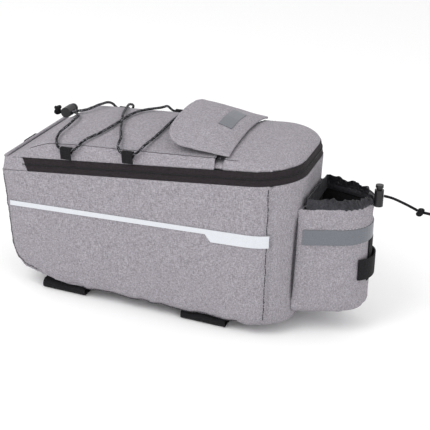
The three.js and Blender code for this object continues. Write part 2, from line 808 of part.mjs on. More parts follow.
function stadium(width, height) {
  const radius = height / 2;
  const reach = width / 2 - radius;
  const shape = new THREE.Shape();
  shape.moveTo(-reach, -radius);
  shape.lineTo(reach, -radius);
  shape.absarc(reach, 0, radius, -Math.PI / 2, Math.PI / 2);
  shape.lineTo(-reach, radius);
  shape.absarc(-reach, 0, radius, Math.PI / 2, Math.PI * 1.5);
  return shape;
}

function makeFrontLoop() {
  const ring = stadiumRing(frontLoop.height, frontLoop.depth, frontLoop.webbing);
  const geometry = prismAlongY(ring, -frontLoop.width / 2, frontLoop.width / 2);
  const lean = Math.atan2(zip.lean - zip.setIn, zip.height);
  geometry.rotateY(Math.PI / 2 + lean);
  const mesh = addPiece("front_loop", geometry, webbing);
  const stand = (frontLoop.depth / 2 + gap) / Math.cos(lean);
  const face = front + mix(zip.setIn, zip.lean, 0.5);
  mesh.position.set(face - stand, 0, zipZ(front) + zip.height / 2);
}

// A flat loop of wide strap across the bottom, open from front to rear.
function makeStrapLoop(name, x) {
  const ring = stadiumRing(strapLoop.span, strapLoop.hang, strapLoop.webbing);
  const geometry = prismAlongX(ring, -strapLoop.width / 2, strapLoop.width / 2);
  geometry.translate(0, 0, -strapLoop.hang / 2 - gap);
  const mesh = addPiece(name, geometry, webbing);
  mesh.position.set(x, 0, bottomZ(x));
  mesh.rotation.y = THREE.MathUtils.degToRad(body.bottomFall);
}

// Where the pouch's seam meets the body, at a height: on the round rear corner.
function pouchSeam(z, inset) {
  const share = (z - bottomZ(rear)) / (zipZ(rear) - bottomZ(rear));
  const cornerX = rear - body.rearLean * (1 - share) - body.rearRadius;
  const cornerY = half - body.rearRadius;
  const y = pouch.seamHalfWidth - inset;
  const x = cornerX + Math.sqrt(body.rearRadius ** 2 - (y - cornerY) ** 2);
  const normal = new THREE.Vector2(x - cornerX, cornerY - y).normalize();
  return { x, y, normal };
}

// The pouch's outline seen from above: two straight walls that run on round its cylinder.
// offset(i) moves a point outwards, and back is where its inner edge lies.
function pouchRing(z, inset, { back, steps = 20, offset = () => 0 } = {}) {
  const centre = rear + pouch.centreFromRear;
  const radius = pouch.radius - inset;
  const seam = pouchSeam(z, inset);
  const backX = back ?? seam.x - 3;
  const distance = Math.hypot(seam.x - centre, seam.y);
  const towards = Math.atan2(seam.y, seam.x - centre);
  const reach = towards - Math.acos(radius / distance);
  const ring = [];
  const along = (backX - seam.x) / (centre + radius * Math.cos(reach) - seam.x);
  const backY = mix(seam.y, radius * Math.sin(reach), along);
  ring.push(new THREE.Vector3(backX, -backY - offset(0), z));
  for (let i = 0; i <= steps; i++) {
    const angle = mix(-reach, reach, i / steps);
    const r = radius + offset(i + 1);
    ring.push(new THREE.Vector3(centre + r * Math.cos(angle), r * Math.sin(angle), z));
  }
  ring.push(new THREE.Vector3(backX, backY + offset(steps + 2), z));
  return ring;
}

// The pouch's closed form with a round bottom edge, drawn in by inset.
function pouchForm(zFrom, zTo, inset) {
  const rings = [];
  for (const share of [0, 0.25, 0.6, 1]) {
    const angle = (share * Math.PI) / 2;
    const edge = pouch.edgeRadius * (1 - Math.sin(angle));
    rings.push(pouchRing(zFrom + pouch.edgeRadius * (1 - Math.cos(angle)), inset + edge));
  }
  rings.push(pouchRing(zTo, inset));
  return toSolid(loft(rings));
}

function makePouch() {
  const form = pouchForm(pouch.bottom, pouch.rim, 0);
  const inside = pouchForm(pouch.bottom + pouch.wall, pouch.rim + 1, pouch.wall);
  const hollow = inside.subtract(bodyForm(gap + pouch.wall));
  addPiece("bottle_pouch", toGeometry(form.subtract(bodyForm(gap)).subtract(hollow)), cloth);
}

// The cord sewn into each side seam of the pouch, in the corner between pouch and body.
function makePiping(name, side) {
  const stand = piping.diameter / 2 + gap + 0.15;
  const place = (z) => {
    const seam = pouchSeam(z, 0);
    const ring = pouchRing(z, 0, { back: seam.x });
    const wall = new THREE.Vector2(ring[1].x - seam.x, ring[1].y + seam.y).normalize();
    const wallNormal = new THREE.Vector2(wall.y, -wall.x);
    const share = stand / (1 + seam.normal.dot(wallNormal));
    const x = seam.x + share * (seam.normal.x + wallNormal.x);
    const y = seam.y - share * (seam.normal.y + wallNormal.y);
    return new THREE.Vector3(x, side * y, z);
  };
  const from = pouch.bottom + piping.endInset;
  const geometry = tube([place(from), place(mix(from, pouch.rim, 0.5)), place(pouch.rim)], piping.diameter, 4);
  addPiece(name, geometry, clothDark);
}

// A band round the pouch, from near one seam to near the other.
function makePouchBand() {
  const top = pouchBand.bottom + pouchBand.height;
  const outside = -gap - pouchBand.thickness;
  const outer = toSolid(loft([pouchRing(pouchBand.bottom, outside), pouchRing(top, outside)]));
  const hole = toSolid(loft([pouchRing(pouchBand.bottom - 1, -gap), pouchRing(top + 1, -gap)]));
  const start = pouchSeam(top, 0).x + pouchBand.clearOfSeam;
  const keep = boxSolid(start, start + body.length, -body.width, body.width, 0, body.length);
  addPiece("pouch_band", toGeometry(outer.subtract(hole).intersect(keep)), silver);
}

// The gathered collar stands out of the pouch's rim.
function makeCollar() {
  const steps = collar.pleats * 4;
  const back = rear + collar.backGap;
  const pleat = (depth) => (i) => depth * (Math.cos((i * Math.PI) / 2) - 1);
  const ring = (z, inset, depth) => pouchRing(z, inset, { back, steps, offset: pleat(depth) });
  const wallIn = pouch.wall + gap;
  const middle = pouch.rim + 1;
  const rings = [
    ring(collar.bottom, wallIn, 0),
    ring(middle, wallIn, collar.pleatDepth / 2),
    ring(collar.top, wallIn + 0.5, collar.pleatDepth),
    ring(collar.top, wallIn + 0.5 + collar.thickness, collar.pleatDepth),
    ring(middle, wallIn + collar.thickness, collar.pleatDepth / 2),
    ring(collar.bottom, wallIn + collar.thickness, 0),
  ];
  for (const inner of rings.slice(3)) {
    inner[0].x += collar.thickness;
    inner.at(-1).x += collar.thickness;
  }
  addPiece("pouch_collar", loft(rings, true), nylon);
}

// A strip of webbing bent round the pouch's rear. stand(share) is its distance from the pouch.
function bentStrip(halfAngle, steps, bottom, height, thickness, stand) {
  const centre = rear + pouch.centreFromRear;
  const at = (angle, radius, z) =>
    new THREE.Vector3(centre + radius * Math.cos(angle), radius * Math.sin(angle), z);
  const rings = [];
  for (let i = 0; i <= steps; i++) {
    const angle = mix(-halfAngle, halfAngle, i / steps);
    const inside = pouch.radius + stand(Math.abs((2 * i) / steps - 1));
    const outside = inside + thickness;
    rings.push([
      at(angle, inside, bottom),
      at(angle, outside, bottom),
      at(angle, outside, bottom + height),
      at(angle, inside, bottom + height),
    ]);
  }
  return loft(rings);
}

function makeLightLoop() {
  const stripAngle = lightStrip.width / 2 / pouch.radius;
  const flat = () => gap;
  const { bottom, height } = lightStrip;
  addPiece("light_strip", bentStrip(stripAngle, 6, bottom, height, lightStrip.webbing, flat), webbing);
  const loopAngle = THREE.MathUtils.degToRad(lightLoop.halfAngle);
  const bulge = (share) => gap + lightLoop.bulge * (1 - share ** 3);
  addPiece(
    "light_loop",
    bentStrip(loopAngle, 16, lightLoop.bottom, lightLoop.height, lightLoop.webbing, bulge),
    webbing,
  );
}

// The draw cord's free end: it leaves the pouch lock to the rear and ends in a knot with a short tip.
function makeTail() {
  const lock = pouchLockFrame().position;
  const { middle } = lockSizes(pouchLock);
  const startX = lock.x + pouchLock.diameter / 2 + gap;
  const z = lock.z + middle;
  const points = tailPoints.map(({ out, drop }) => new THREE.Vector3(startX + out, lock.y, z - drop));
  addPiece("draw_cord_tail", tube(points, pouchLock.cord, 16), webbing);
  const last = points.at(-1);
  const fall = Math.atan2(last.z - points.at(-2).z, last.x - points.at(-2).x);
  const ball = new THREE.SphereGeometry(tailKnot.diameter / 2, 12, 8);
  const tip = roundBar(pouchLock.cord, 0, tailKnot.diameter / 2 + tailKnot.tipLength, 8);
  const tipMesh = toGeometry(tip);
  tipMesh.rotateY(Math.PI / 2);
  const mesh = addPiece("draw_cord_knot", toGeometry(toSolid(ball).add(toSolid(tipMesh))), webbing);
  const stand = tailKnot.diameter / 2 + gap;
  mesh.position.set(last.x + stand * Math.cos(fall), last.y, last.z + stand * Math.sin(fall));

  const inside = new THREE.Vector3(rear + pouch.centreFromRear + pouch.radius, lock.y, z);
  const outside = new THREE.Vector3(startX - gap, lock.y, z);
  addPiece("draw_cord", tube([inside, outside], pouchLock.cord, 2), webbing);
}

makeBody();
makeZip();
makeSlider();
makeLid();
makeFlap();
makeStripe("stripe_near", -1);
makeStripe("stripe_far", 1);
for (const [side, sideName] of [
  [-1, "near"],
  [1, "far"],
]) {
  makeCordLoop("cord_loop_front_" + sideName, cordLoop.frontFromMiddle, side);
  makeCordLoop("cord_loop_rear_" + sideName, cordLoop.rearFromMiddle, side);
}
makeLock("front_lock", frontLock, frontLockFrame());
makeLock("pouch_lock", pouchLock, pouchLockFrame());
makeCord();
makeFrontLoop();
makeStrapLoop("strap_loop_front", front + strapLoop.frontFromFront);
makeStrapLoop("strap_loop_rear", rear - strapLoop.rearFromRear);
makePouch();
makePiping("pouch_piping_near", -1);
makePiping("pouch_piping_far", 1);
makePouchBand();
makeCollar();
makeLightLoop();
makeTail();

const bag = new THREE.Group();
bag.add(...pieces);
bag.rotation.y = -THREE.MathUtils.degToRad(body.bottomFall);

// The part's origin is below the middle of everything but the loose draw cord, at the lowest strap.
const looseCord = ["draw_cord_tail", "draw_cord_knot"];
bag.updateMatrixWorld(true);
const extent = new THREE.Box3();
for (const piece of pieces) {
  if (!looseCord.includes(piece.name)) extent.expandByObject(piece, true);
}
const middle = extent.getCenter(new THREE.Vector3());
bag.position.set(-middle.x, -middle.y, -extent.min.z);

const part = new THREE.Group();
part.add(bag);

export default part;
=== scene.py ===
# %% [markdown]
# # A bicycle trunk bag
# The bag is a padded box of grey melange cloth that sits on a bicycle rack. Its lid is zipped on three
# sides, an elastic cord is laced over it, and a bottle pouch is sewn to its rear. The solids come from
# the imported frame. This lesson dresses them: it turns the plain walls into padded cloth with seams and
# stitches, and gives each hard piece its finish.

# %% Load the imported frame
import math

import bmesh
import bpy
from mathutils import Matrix, Vector, noise
from mathutils.bvhtree import BVHTree

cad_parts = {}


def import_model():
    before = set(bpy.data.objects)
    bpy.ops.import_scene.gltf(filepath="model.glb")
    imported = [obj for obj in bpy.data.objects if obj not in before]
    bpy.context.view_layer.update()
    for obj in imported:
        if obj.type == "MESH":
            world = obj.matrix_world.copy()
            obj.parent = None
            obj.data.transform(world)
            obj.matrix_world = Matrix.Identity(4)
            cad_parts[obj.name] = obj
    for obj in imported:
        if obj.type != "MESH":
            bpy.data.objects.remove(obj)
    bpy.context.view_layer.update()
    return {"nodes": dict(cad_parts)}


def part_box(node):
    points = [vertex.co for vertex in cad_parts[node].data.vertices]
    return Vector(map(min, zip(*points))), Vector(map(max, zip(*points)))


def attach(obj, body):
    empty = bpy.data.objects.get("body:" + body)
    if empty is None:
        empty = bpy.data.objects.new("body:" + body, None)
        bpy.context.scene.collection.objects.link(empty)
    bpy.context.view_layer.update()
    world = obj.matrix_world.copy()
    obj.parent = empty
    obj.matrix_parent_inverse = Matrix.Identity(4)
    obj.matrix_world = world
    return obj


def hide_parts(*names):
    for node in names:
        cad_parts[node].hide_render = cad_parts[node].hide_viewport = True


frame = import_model()
nodes = frame["nodes"]
print("nodes", len(nodes))

# %% [markdown]
# ## One frame for the bag
# The bag is a wedge, so it leans a little when it rests on its straps. It is easier to think of it
# level, as its side stripe lies, in millimetres. These helpers turn a level point or direction into
# the frame that the solids use, in metres, and back.

# %% Level and world
MM = 0.001
LEAN = 3.2  # degrees, nose up
SHIFT = Vector((-26.62, -0.25, 12.3))
FRONT, REAR, HALF = -187.5, 181.0, 90.0
REAR_RADIUS = 56.0  # of the box's rear corners, seen from above
RIM_MIDDLE, RIM_RISE = 160.4, 3.9  # the rim's height at x = 0, and its slope in degrees
BOTTOM_FALL = 3.2  # degrees
TAPE_TOP = 16.3  # from the rim up to the lid's lower edge, past the zip's tapes
lean = Matrix.Rotation(math.radians(-LEAN), 4, "Y")
level_to_world = Matrix.Scale(MM, 4) @ Matrix.Translation(SHIFT) @ lean
world_to_level = level_to_world.inverted()
turn_to_world = lean.to_3x3()
turn_to_level = turn_to_world.transposed()


def world(x, y, z):
    return level_to_world @ Vector((x, y, z))


def zip_line(x):
    return RIM_MIDDLE + math.tan(math.radians(RIM_RISE)) * x


def bottom_line(x):
    return -math.tan(math.radians(BOTTOM_FALL)) * x


# %% [markdown]
# ## The camera
# The photograph was taken from the near side, a little ahead of the bag's middle and from above, with a
# long lens. Its place was worked out from points that can be told on both the photograph and the solids.

# %% Camera
view_from = Vector((457.61, -1235.33, 619.48))
camera_data = bpy.data.cameras.new("camera")
camera_data.lens = 95.25
camera_data.sensor_width = 36
camera_data.clip_start = 0.05
camera = bpy.data.objects.new("camera", camera_data)
bpy.context.collection.objects.link(camera)
aim = (
    Matrix.Rotation(math.radians(17.93), 4, "Z")
    @ Matrix.Rotation(math.radians(90 - 22.14), 4, "X")
    @ Matrix.Rotation(math.radians(1.37), 4, "Z")
)
camera.matrix_world = Matrix.Translation(level_to_world @ view_from) @ lean @ aim
bpy.context.scene.camera = camera

# %% [markdown]
# ## Node groups that several finishes share
# Melange cloth is woven from light and dark yarns, so it has a fine weave and a mottled colour. The
# weave group makes both from patterns on object coordinates, which need no unwrapping. The ribs group
# makes the fine ridges that cross a webbing strap or a cord.


# %% Helpers for node groups
def new_group(name, inputs, outputs):
    group = bpy.data.node_groups.new(name, "ShaderNodeTree")
    for socket, default in inputs.items():
        made = group.interface.new_socket(name=socket, in_out="INPUT", socket_type="NodeSocketFloat")
        made.default_value = default
    for socket, kind in outputs.items():
        group.interface.new_socket(name=socket, in_out="OUTPUT", socket_type=kind)
    return group, group.nodes.new("NodeGroupInput"), group.nodes.new("NodeGroupOutput")


def add_node(tree, kind, settings=(), values=()):
    node = tree.nodes.new(kind)
    for key, value in dict(settings).items():
        setattr(node, key, value)
    for key, value in dict(values).items():
        node.inputs[key].default_value = value
    return node


def math_node(tree, operation, first, second=None):
    node = add_node(tree, "ShaderNodeMath", {"operation": operation})
    for socket, source in zip(node.inputs, (first, second)):
        if isinstance(source, (int, float)):
            socket.default_value = source
        elif source is not None:
            tree.links.new(source, socket)
    return node.outputs[0]


def stretched_noise(tree, place, stretch, scale, detail=2.0):
    mapping = add_node(tree, "ShaderNodeMapping", values={"Scale": stretch})
    tree.links.new(place, mapping.inputs["Vector"])
    spots = add_node(tree, "ShaderNodeTexNoise", values={"Detail": detail, "Roughness": 0.6})
    tree.links.new(mapping.outputs[0], spots.inputs["Vector"])
    if isinstance(scale, (int, float)):
        spots.inputs["Scale"].default_value = scale
    else:
        tree.links.new(scale, spots.inputs["Scale"])
    return spots.outputs["Fac"]


def bands(tree, place, direction, scale):
    wave = add_node(tree, "ShaderNodeTexWave", {"wave_type": "BANDS", "bands_direction": direction})
    wave.inputs["Distortion"].default_value = 0.6
    tree.links.new(place, wave.inputs["Vector"])
    tree.links.new(scale, wave.inputs["Scale"])
    return wave.outputs["Fac"]


# %% The weave group
def make_weave():
    outputs = {"Shade": "NodeSocketFloat", "Height": "NodeSocketFloat", "Rough": "NodeSocketFloat"}
    group, given, given_out = new_group("melange_weave", {"Threads": 420.0, "Yarn": 1050.0}, outputs)
    place = add_node(group, "ShaderNodeTexCoord").outputs["Object"]
    along = stretched_noise(group, place, (0.28, 1, 1), given.outputs["Yarn"])
    upright = stretched_noise(group, place, (1, 1, 0.28), given.outputs["Yarn"])
    across = stretched_noise(group, place, (1, 0.28, 1), given.outputs["Yarn"])
    cloudy = stretched_noise(group, place, (1, 1, 1), 90.0)
    yarns = math_node(group, "ADD", math_node(group, "ADD", along, upright), across)
    yarn_share = math_node(group, "MULTIPLY", yarns, 0.3)
    cloud_share = math_node(group, "MULTIPLY", cloudy, 0.05)
    mixed = math_node(group, "ADD", yarn_share, cloud_share)
    weft = bands(group, place, "X", given.outputs["Threads"])
    warp = bands(group, place, "Z", given.outputs["Threads"])
    depth = bands(group, place, "Y", given.outputs["Threads"])
    crossed = math_node(group, "MAXIMUM", weft, warp)
    threads = math_node(group, "ADD", crossed, math_node(group, "MULTIPLY", depth, 0.5))
    height = math_node(group, "ADD", math_node(group, "MULTIPLY", threads, 0.5), yarns)
    rough = math_node(group, "SUBTRACT", 1.0, math_node(group, "MULTIPLY", mixed, 0.2))
    group.links.new(mixed, given_out.inputs["Shade"])
    group.links.new(height, given_out.inputs["Height"])
    group.links.new(rough, given_out.inputs["Rough"])
    return group


def make_ribs():
    outputs = {"Shade": "NodeSocketFloat", "Height": "NodeSocketFloat"}
    group, given, given_out = new_group("webbing_ribs", {"Ribs": 260.0}, outputs)
    place = add_node(group, "ShaderNodeTexCoord").outputs["Object"]
    along = bands(group, place, "X", given.outputs["Ribs"])
    across = bands(group, place, "DIAGONAL", given.outputs["Ribs"])
    fuzz = stretched_noise(group, place, (1, 1, 1), 700.0)
    ridges = math_node(group, "MULTIPLY", along, across)
    height = math_node(group, "ADD", ridges, math_node(group, "MULTIPLY", fuzz, 0.4))
    group.links.new(fuzz, given_out.inputs["Shade"])
    group.links.new(height, given_out.inputs["Height"])
    return group


weave_group = make_weave()
ribs_group = make_ribs()


# %% [markdown]
# ## Finishes
# Each finish is a Principled shader. Its colour is a ramp over the group's shade, so the dark and the
# light yarns keep their own colours, and its bump comes from the group's height.


# %% Helpers for finishes
def srgb(code):
    channels = [((code >> shift) & 255) / 255 for shift in (16, 8, 0)]
    return [c / 12.92 if c <= 0.04045 else ((c + 0.055) / 1.055) ** 2.4 for c in channels] + [1.0]


def new_finish(name, roughness, sheen=0.0, shine=0.15):
    material = bpy.data.materials.new(name)
    material.use_nodes = True
    shader = material.node_tree.nodes["Principled BSDF"]
    shader.inputs["Roughness"].default_value = roughness
    shader.inputs["Sheen Weight"].default_value = sheen
    shader.inputs["Sheen Roughness"].default_value = 0.5
    shader.inputs["Specular IOR Level"].default_value = shine
    return material, material.node_tree, shader


def colour_ramp(tree, factor, stops):
    ramp = add_node(tree, "ShaderNodeValToRGB")
    elements = ramp.color_ramp.elements
    while len(elements) < len(stops):
        elements.new(0.5)
    for element, (position, code) in zip(elements, stops):
        element.position = position
        element.color = srgb(code)
    tree.links.new(factor, ramp.inputs["Fac"])
    return ramp.outputs["Color"]


def add_bump(tree, shader, height, strength, distance):
    bump = add_node(tree, "ShaderNodeBump", values={"Strength": strength, "Distance": distance})
    tree.links.new(height, bump.inputs["Height"])
    tree.links.new(bump.outputs["Normal"], shader.inputs["Normal"])


def group_node(tree, group, values):
    node = tree.nodes.new("ShaderNodeGroup")
    node.node_tree = group
    for key, value in values.items():
        node.inputs[key].default_value = value
    return node


def woven(name, stops, threads=420.0, yarn=1050.0, bump=0.5, sheen=0.05):
    material, tree, shader = new_finish(name, 0.95, sheen)
    weave = group_node(tree, weave_group, {"Threads": threads, "Yarn": yarn})
    tree.links.new(colour_ramp(tree, weave.outputs["Shade"], stops), shader.inputs["Base Color"])
    tree.links.new(weave.outputs["Rough"], shader.inputs["Roughness"])
    add_bump(tree, shader, weave.outputs["Height"], bump, 0.0004)
    return material


def ribbed(name, stops, ribs=260.0, roughness=0.8):
    material, tree, shader = new_finish(name, roughness, 0.02)
    pattern = group_node(tree, ribs_group, {"Ribs": ribs})
    tree.links.new(colour_ramp(tree, pattern.outputs["Shade"], stops), shader.inputs["Base Color"])
    add_bump(tree, shader, pattern.outputs["Height"], 0.6, 0.0005)
    return material


def filmed(name, stops, roughness, cell_scale, bump):
    """A smooth film or a moulded surface with a fine grain."""
    material, tree, shader = new_finish(name, roughness, shine=0.4)
    place = add_node(tree, "ShaderNodeTexCoord").outputs["Object"]
    spots = stretched_noise(tree, place, (1, 1, 1), cell_scale)
    tree.links.new(colour_ramp(tree, spots, stops), shader.inputs["Base Color"])
    add_bump(tree, shader, spots, bump, 0.0002)
    return material


# %% The bag's finishes
cloth = woven("melange_cloth", [(0.39, 0x7A767B), (0.475, 0x8F8B91), (0.56, 0xA4A0A6)])
cloth_dark = woven("dark_piping", [(0.39, 0x2B292D), (0.475, 0x3A373C), (0.56, 0x4A474C)])
# Painted shade: a black skin stands for the deep shade inside the pouch and the pocket.
inner_shade_finish = woven("black_inner_shade", [(0.4, 0x151517), (0.6, 0x222225)], bump=0.3)
zip_tape = ribbed("zip_tape", [(0.35, 0x1E1A1D), (0.65, 0x2E292C)], ribs=420.0)
webbing = ribbed("black_webbing", [(0.35, 0x0F0E10), (0.65, 0x1E1D20)])
cord_braid = ribbed("braided_cord", [(0.3, 0x09090B), (0.54, 0x131316), (0.6, 0x8A8A90)], ribs=520.0)
plain_cord = ribbed("plain_cord", [(0.35, 0x0C0C0E), (0.65, 0x1A1A1D)], ribs=520.0)
nylon_stops = [(0.4, 0x1B1B1F), (0.6, 0x36363C)]
nylon = woven("gathered_nylon", nylon_stops, threads=900.0, yarn=800.0, bump=0.25, sheen=0.05)
nylon_shader = nylon.node_tree.nodes["Principled BSDF"]
nylon_shader.inputs["Coat Weight"].default_value = 0.35
nylon_shader.inputs["Coat Roughness"].default_value = 0.35
white_film = filmed("white_reflective_film", [(0.4, 0xC2C5CA), (0.6, 0xCED1D6)], 0.35, 1500.0, 0.2)
grey_film = filmed("grey_reflective_film", [(0.4, 0x5C5F65), (0.6, 0x6B6E75)], 0.35, 1500.0, 0.35)
plastic = filmed("moulded_plastic", [(0.4, 0x101012), (0.6, 0x1B1B1E)], 0.38, 1200.0, 0.3)
thread_grey = ribbed("grey_thread", [(0.35, 0x8A898E), (0.65, 0xA9A8AD)], ribs=900.0)
thread_light = ribbed("light_thread", [(0.35, 0xB9B8BC), (0.65, 0xCFCED2)], ribs=900.0)
# A dark finish for rows along the seams, painted as the shade in the seam grooves.
seam_shade_finish = ribbed("seam_shade_stitches", [(0.35, 0x343136), (0.65, 0x454247)], ribs=900.0)

# %% [markdown]
# ## From plain solids to soft cloth
# A padded wall starts as a copy of its solid. Voxel remeshing joins the copy's loose triangles into an
# even skin, which can then be pushed and pulled like clay. Each wall is sculpted by a small function
# that says how far a point moves along its normal, in level millimetres: seams pull the cloth in, and
# slow waves of noise keep it from looking machined.


# %% Soft copies
def link_piece(name, mesh, finish, replaced=()):
    piece = bpy.data.objects.new(name, mesh)
    bpy.context.collection.objects.link(piece)
    mesh.materials.clear()
    mesh.materials.append(finish)
    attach(piece, "bag")
    if replaced:
        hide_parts(*replaced)
    return piece


def copy_solids(names):
    bm = bmesh.new()
    for name in names:
        bm.from_mesh(nodes[name].data)
    bmesh.ops.remove_doubles(bm, verts=bm.verts, dist=1e-6)
    mesh = bpy.data.meshes.new("copy")
    bm.to_mesh(mesh)
    bm.free()
    return mesh


TAPER_END = -140.0  # the sheets of the lid taper from here to the front


def fuller_underside(mesh):
    """Drops the lower faces of the lid's sheets, which are too thin to remesh where they taper."""
    bm = bmesh.new()
    bm.from_mesh(mesh)
    bm.normal_update()
    for vert in bm.verts:
        p = world_to_level @ vert.co
        if vert.normal.z < -0.05:
            above_rim = 0.6 if p.z > zip_line(p.x) + TAPE_TOP + 2.7 else 0.0
            at_taper = 1.8 * clamp((TAPER_END - p.x) / 15)
            vert.co.z -= max(above_rim, at_taper) * MM
    bm.to_mesh(mesh)
    bm.free()


def soft_copy(name, names, voxel, finish, slot, smooth=4, prepare=None):
    """A remeshed copy of solids, in even cells of voxel millimetres."""
    mesh = copy_solids(names)
    if prepare:
        prepare(mesh)
    holder = bpy.data.objects.new("holder", mesh)
    bpy.context.collection.objects.link(holder)
    remesh = holder.modifiers.new("even", "REMESH")
    remesh.mode = "VOXEL"
    remesh.voxel_size = voxel * MM
    relax = holder.modifiers.new("relax", "SMOOTH")
    relax.factor = 0.5
    relax.iterations = smooth
    ready = holder.evaluated_get(bpy.context.evaluated_depsgraph_get())
    made = bpy.data.meshes.new_from_object(ready)
    made.name = name
    bpy.data.objects.remove(holder)
    piece = link_piece(name, made, finish, names)
    smooth_shade(piece)
    print(name, len(made.vertices), "points")
    return piece


def smooth_shade(piece):
    piece.data.polygons.foreach_set("use_smooth", [True] * len(piece.data.polygons))


def sculpt(piece, move):
    """Moves each point along its normal by move(place, normal), all in level millimetres."""
    bm = bmesh.new()
    bm.from_mesh(piece.data)
    bm.normal_update()
    shifts = []
    for vert in bm.verts:
        normal = turn_to_level @ vert.normal
        shifts.append(vert.normal * (move(world_to_level @ vert.co, normal) * MM))
    for vert, shift in zip(bm.verts, shifts):
        vert.co += shift
    bm.to_mesh(piece.data)
    bm.free()


def drape(piece, shift):
    """Moves a thin sheet whole: both its faces take the same shift(place), in level millimetres."""
    bm = bmesh.new()
    bm.from_mesh(piece.data)
    for vert in bm.verts:
        vert.co += turn_to_world @ shift(world_to_level @ vert.co) * MM
    bm.to_mesh(piece.data)
    bm.free()


def straighten(piece, height, reach, from_x=-200.0):
    """Lays the points near an edge on a line above the zip, where the edge meets its tape."""
    bm = bmesh.new()
    bm.from_mesh(piece.data)
    for vert in bm.verts:
        p = world_to_level @ vert.co
        edge = zip_line(p.x) + height
        if abs(p.z - edge) < reach and p.x > from_x:
            vert.co = world(p.x, p.y, edge)
    bm.to_mesh(piece.data)
    bm.free()


def bell(distance, width):
    """1 on a line, and hardly anything from twice the width on."""
    return math.exp(-((distance / width) ** 2))


def groove(distance, width, depth):
    return -depth * bell(distance, width)


def ripple(place, size, seed):
    return noise.noise(Vector((place.x / size, place.y / size + seed, place.z / size)))


def clamp(value, low=0.0, high=1.0):
    return min(max(value, low), high)


# %% [markdown]
# ## The padded box
# The body's walls are foam between two cloths. The front corners and the bottom edge have bound seams,
# which gather the cloth into small puckers, and a seam runs up each side before the round rear.

# %% Body
body = soft_copy(
    "body_cloth",
    ["side_panel_near", "side_panel_far", "front_and_bottom_panel", "rear_panel"],
    2.4,
    cloth,
    "cloth",
)
REAR_SEAM = 151.0
STRIPE_Z = 105.0


def front_edge(z):
    share = clamp((z - 10) / 138)
    toe = clamp((40 - z + 10) / 40)
    return FRONT + 13 * (1 - share) + 90 * toe**3


def corner_seams(p, side, ahead, above):
    """The bound seams of the front corners and the bottom edges, with small puckers."""
    move = 0.0
    if ahead < 14 and side < 14:
        pucker = 0.75 + 0.25 * math.sin(p.z * 0.9 + 2 * ripple(p, 14, 3))
        move += groove(ahead - side, 2.2, 1.5 * pucker)
    if above < 14 and side < 14:
        pucker = 0.75 + 0.25 * math.sin(p.x * 0.75 + 2 * ripple(p, 14, 5))
        move += groove(above - side, 2.0, 1.3 * pucker)
    return move


def rear_seam(p):
    if abs(p.y) <= 40:
        return 0.0
    waves = 0.5 * bell(p.x - REAR_SEAM, 10) * math.sin(p.z * 0.5 + 3 * ripple(p, 25, 9))
    return waves + groove(p.x - REAR_SEAM, 1.8, 1.5)


def padding(p, side, ahead, above):
    """The foam fills the middle of a side, so the cloth falls away towards the seams."""
    if side >= 3:
        return 0.0
    full = clamp(ahead / 25) * clamp(abs(REAR_SEAM - p.x) / 18) * clamp(above / 25)
    return -1.1 * (1 - full)


def slack(p, side, above):
    """Slow waves that leave the stripe and the rim alone, and a little sag near the bottom."""
    calm = 1 - bell(p.z - STRIPE_Z, 12) if side < 4 else 1.0
    rim = clamp((zip_line(p.x) - p.z) / 14)
    low = clamp((40 - above) / 40) * (1 if side < 6 else 0.3)
    sag = math.sin(p.x * 0.16 + 4 * ripple(p, 40, 7))
    return calm * rim * (0.8 * ripple(p, 55, 1) - 0.3) + low * sag


def body_move(p, n):
    side = HALF - abs(p.y)
    ahead = p.x - front_edge(p.z)
    above = p.z - bottom_line(p.x)
    if side >= 9 and above >= 3 and ahead >= 3 and p.x <= REAR - 8:
        return 0.0
    seams = corner_seams(p, side, ahead, above) + rear_seam(p)
    return seams + padding(p, side, ahead, above) + slack(p, side, above)


sculpt(body, body_move)
straighten(body, 0, 2.2)

# %% [markdown]
# ## The lid and its top pocket
# The lid is domed over a foam panel. A seam round its crown pulls the cloth in, and above the front the
# cord and the hinge draw the cloth into broad folds.

# %% Lid and pocket
fuller = {"prepare": fuller_underside}
lid = soft_copy("lid_cloth", ["lid"], 1.7, cloth, "cloth", **fuller)
pocket = soft_copy("pocket_cloth", ["top_pocket"], 1.2, cloth, "cloth", smooth=2, **fuller)
hinge = soft_copy("hinge_cloth", ["front_hinge"], 1.0, cloth, "cloth", smooth=1)
CROWN_SIDE = 82.5
MOUTH = 83.0


def lid_shift(p):
    high = clamp((p.z - zip_line(p.x) - 18) / 8)
    ahead = clamp((p.x - FRONT) / 90)
    fold = math.sin(p.y * 0.11 + p.x * 0.05 + 4 * ripple(p, 60, 13))
    crease = bell(p.x - MOUTH, 8)
    move = 0.7 * ripple(p, 42, 11) + (1 - ahead) * 1.3 * fold + 0.4 * crease - 0.6
    return Vector((0, 0, high * move))


def crown_seam(p, n):
    if n.z < 0.2 or p.z < zip_line(p.x) + 24:
        return 0.0
    return groove(abs(p.y) - CROWN_SIDE, 1.3, 0.4)


for sheet in (lid, pocket):
    drape(sheet, lid_shift)
    sculpt(sheet, crown_seam)
    straighten(sheet, TAPE_TOP, 1.5, FRONT + 24)
drape(hinge, lambda p: Vector((0.3 * math.sin(p.y * 0.35 + 2 * ripple(p, 18, 4)), 0, 0)))

# %% [markdown]
# ## The pocket flap
# The flap is a stiff panel with an edge binding. It is remeshed finely, so the binding can be raised
# along its rim as a low rounded bead.

# %% Flap
flap = soft_copy("flap_cloth", ["pocket_flap"], 1.1, cloth, "cloth", smooth=3)
FOLD, FREE, FLAP_HALF, CORNER = 99.0, 20.0, 80.0, 22.0


def flap_rim(p):
    """How far a point on the flap is from its nearest side or free end."""
    side = FLAP_HALF - abs(p.y)
    end = p.x - FREE
    if side < CORNER and end < CORNER:
        return CORNER - math.hypot(CORNER - side, CORNER - end)
    return min(side, end)


